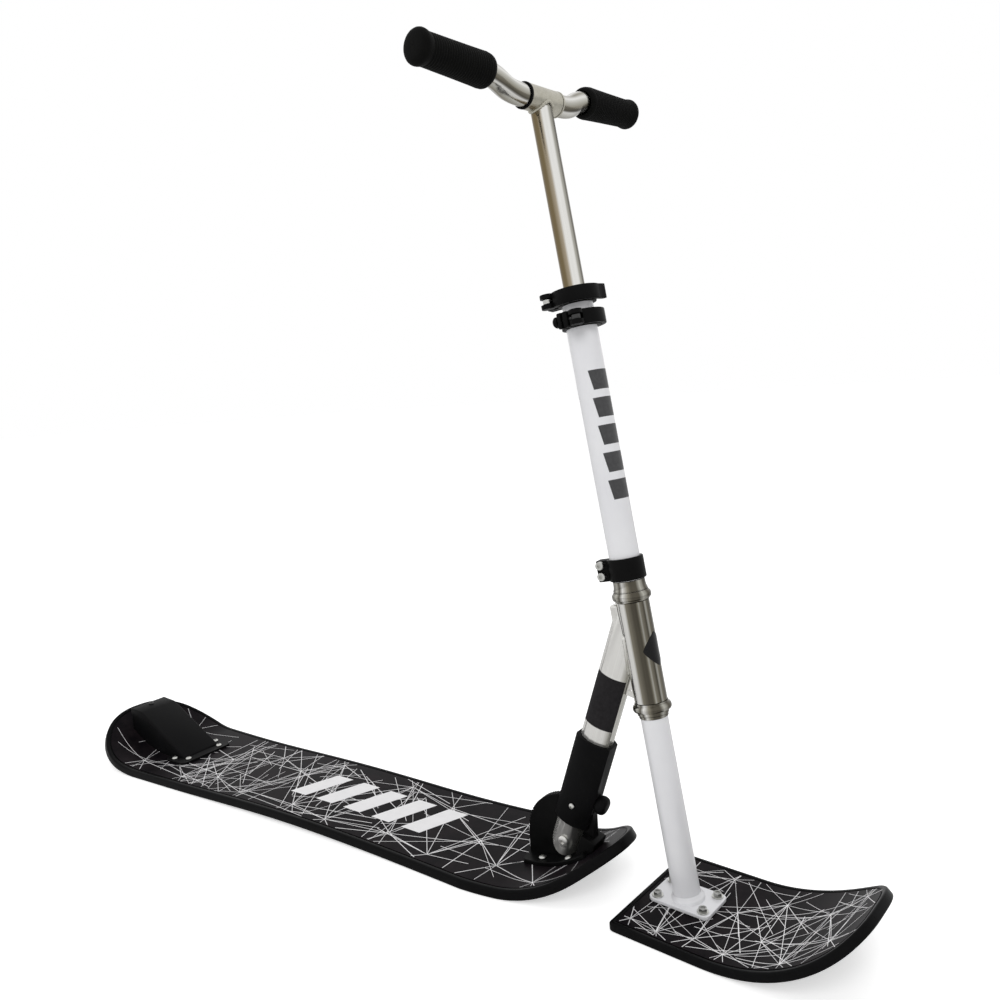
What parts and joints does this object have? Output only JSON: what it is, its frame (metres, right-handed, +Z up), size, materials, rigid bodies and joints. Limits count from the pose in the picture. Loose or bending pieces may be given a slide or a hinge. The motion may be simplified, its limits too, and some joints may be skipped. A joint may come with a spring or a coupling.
{
  "type": "snow scooter",
  "caption": "Folding snow scooter: long upturned board with heel wedge, short steering ski on a raked column, height-adjustable handlebar and sprung fold lock.",
  "frame": {"origin": "on the ground under the middle of the bounding box", "axes": "+X forward towards the steering ski, +Y to the rider's left, +Z up"},
  "size_m": [1.186, 0.344, 0.8698],
  "materials": {
    "board_black": "glossy moulded black with a raised border",
    "printed_sheet": "black film with thin white straight lines",
    "moulded_black": "satin moulded black",
    "black_metal": "black powder coat and anodising",
    "polished_aluminium": "polished",
    "white_paint": "glossy white paint",
    "steel": "zinc plated",
    "grip_rubber": "matt ribbed rubber"
  },
  "bodies": {
    "deck": {"deck_board": "board_black", "deck_top_sheet": "printed_sheet", "heel_wedge": "moulded_black", "heel_wedge_bolt_1": "steel", "heel_wedge_bolt_2": "steel", "heel_wedge_bolt_3": "steel", "heel_wedge_bolt_4": "steel", "heel_wedge_screw": "steel", "hinge_base": "black_metal", "hinge_bolt_1": "steel", "hinge_bolt_2": "steel", "hinge_bolt_3": "steel", "hinge_bolt_4": "steel", "pivot_bush": "steel"},
    "strut_frame": {"strut": "polished_aluminium", "strut_sleeve": "moulded_black", "left_sleeve_screw": "steel", "right_sleeve_screw": "steel", "pivot_bolt": "steel", "pivot_nut": "steel", "lock_spring": "steel", "spring_plug": "moulded_black", "head_tube": "polished_aluminium", "upper_cup": "polished_aluminium", "lower_cup": "polished_aluminium", "upper_race": "steel", "lower_race": "steel"},
    "lock": {"lock_pin": "steel", "release_knob": "moulded_black"},
    "steering_column": {"ski_board": "board_black", "ski_top_sheet": "printed_sheet", "base_plate": "white_paint", "ski_bolt_1": "steel", "ski_bolt_2": "steel", "ski_bolt_3": "steel", "ski_bolt_4": "steel", "fork_tube": "white_paint", "crown_race": "polished_aluminium", "dust_cap": "steel", "outer_tube": "white_paint", "top_bush": "moulded_black", "stem_clamp": "black_metal", "stem_clamp_screw_1": "steel", "stem_clamp_screw_2": "steel", "lower_collar": "black_metal", "lower_eye_bolt": "steel", "lower_lever_nut": "black_metal", "upper_collar": "black_metal", "upper_eye_bolt": "steel", "upper_lever_nut": "black_metal"},
    "lower_quick_release": {"lower_lever": "black_metal"},
    "upper_quick_release": {"upper_lever": "black_metal"},
    "handlebar": {"stem_tube": "polished_aluminium", "foot_bush": "moulded_black", "left_bar": "polished_aluminium", "right_bar": "polished_aluminium", "left_bar_ring": "moulded_black", "right_bar_ring": "moulded_black", "left_grip": "grip_rubber", "right_grip": "grip_rubber"}
  },
  "joints": [
    {"name": "fold", "type": "hinge", "parent": "deck", "child": "strut_frame", "pos_m": [0.25392, 0, 0.045], "axis": [0, 1, 0], "range_deg": [-81.3, 0]},
    {"name": "lock_pull", "type": "slide", "parent": "strut_frame", "child": "lock", "axis": [0.3284, 0, 0.9445], "range_m": [-0.004, 0], "stiffness_N_per_m": 400, "springref_m": -0.012},
    {"name": "steering", "type": "hinge", "parent": "strut_frame", "child": "steering_column", "pos_m": [0.39492, 0, 0.01492], "axis": [-0.1513, 0, 0.9885], "range_deg": [-49.3, 60.7]},
    {"name": "handlebar_height", "type": "slide", "parent": "steering_column", "child": "handlebar", "axis": [-0.1513, 0, 0.9885], "range_m": [-0.11, 0.05]},
    {"name": "lower_lever_swing", "type": "hinge", "parent": "steering_column", "child": "lower_quick_release", "pos_m": [0.31431, -0.02749, 0.61553], "axis": [-0.1513, 0, 0.9885], "range_deg": [-110, 0]},
    {"name": "upper_lever_swing", "type": "hinge", "parent": "steering_column", "child": "upper_quick_release", "pos_m": [0.27656, -0.01831, 0.63404], "axis": [-0.1513, 0, 0.9885], "range_deg": [-110, 0]}
  ]
}
